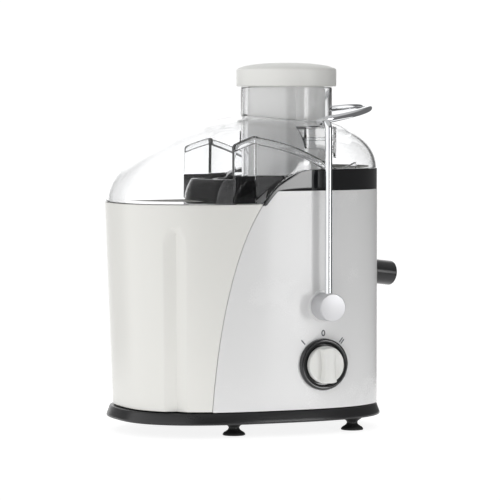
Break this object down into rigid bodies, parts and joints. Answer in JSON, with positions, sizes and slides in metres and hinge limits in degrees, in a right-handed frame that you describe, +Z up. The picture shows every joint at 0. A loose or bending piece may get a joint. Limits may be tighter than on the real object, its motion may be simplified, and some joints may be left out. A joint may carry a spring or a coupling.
{
  "type": "centrifugal juicer",
  "caption": "Oval centrifugal juicer with a clear domed lid, feed tube with pusher, wire locking bail, speed knob, juice spout and side pulp container.",
  "frame": {"origin": "centre of the object's box on the surface that the feet stand on", "axes": "+X towards the juice spout, -Y towards the front with the speed knob, +Z up along the feed tube"},
  "size_m": [0.2694, 0.2072, 0.3255],
  "materials": {
    "housing_white": "gloss",
    "container_white": "satin gloss",
    "trim_white": "satin",
    "satin_black": "satin",
    "gloss_black": "high gloss",
    "clear_plastic": "clear",
    "black_rubber": "matte",
    "pale_rubber": "matte",
    "steel": "brushed",
    "chrome_wire": "mirror",
    "satin_silver": "satin",
    "cast_aluminium": "cast",
    "laminations": "matte",
    "copper": "enamelled",
    "carbon": "matte",
    "inner_plastic": "matte",
    "inner_white": "satin",
    "filter_yellow": "gloss",
    "wire_red": "satin"
  },
  "bodies": {
    "base": {"motor_housing": "housing_white", "base_plinth": "satin_black", "base_screws": "steel", "foot_front_left": "black_rubber", "foot_front_right": "black_rubber", "foot_rear_left": "black_rubber", "foot_rear_right": "black_rubber", "cord_inlet": "satin_black", "juice_bowl": "gloss_black", "lid": "clear_plastic", "lid_seal": "pale_rubber", "stator_core": "laminations", "field_coils": "copper", "upper_bracket": "cast_aluminium", "lower_bracket": "cast_aluminium", "motor_bolts": "steel", "motor_mounts": "black_rubber", "upper_bearing": "steel", "lower_bearing": "steel", "brush_holders": "copper", "carbon_brushes": "carbon", "shaft_seal": "black_rubber", "speed_switch": "inner_plastic", "dial_bezel": "gloss_black", "interlock_switch": "inner_plastic", "noise_filter": "filter_yellow", "wiring": "wire_red"},
    "rotor": {"motor_shaft": "steel", "armature_core": "laminations", "armature_coils": "copper", "commutator": "copper", "cooling_fan": "inner_white", "drive_coupling": "inner_plastic", "basket_base": "inner_white", "basket_mesh": "steel", "basket_rim": "inner_white", "cutter_disc": "steel", "basket_nut": "steel"},
    "bail": {"bail_wire": "chrome_wire", "bail_cap_front": "satin_silver", "bail_cap_rear": "satin_silver", "bail_cam_front": "inner_white", "bail_cam_rear": "inner_white"},
    "knob": {"speed_knob": "trim_white", "switch_spindle": "steel"},
    "pusher": {"pusher_body": "trim_white", "pusher_cap": "trim_white"},
    "container": {"pulp_container": "container_white"}
  },
  "joints": [
    {"name": "rotor_spin", "type": "hinge", "parent": "base", "child": "rotor", "pos_m": [0.03027, 0, 0.1], "axis": [0, 0, 1], "continuous": true},
    {"name": "bail_swing", "type": "hinge", "parent": "base", "child": "bail", "pos_m": [0.03027, 0, 0.112], "axis": [0, 1, 0], "range_deg": [0, 95]},
    {"name": "knob_turn", "type": "hinge", "parent": "base", "child": "knob", "pos_m": [0.03027, -0.085, 0.061], "axis": [0, -1, 0], "range_deg": [-45, 45]},
    {"name": "pusher_slide", "type": "slide", "parent": "base", "child": "pusher", "axis": [0, 0, 1], "range_m": [0, 0.13]},
    {"name": "container_slide", "type": "slide", "parent": "base", "child": "container", "axis": [-1, 0, 0], "range_m": [0, 0.13]}
  ]
}
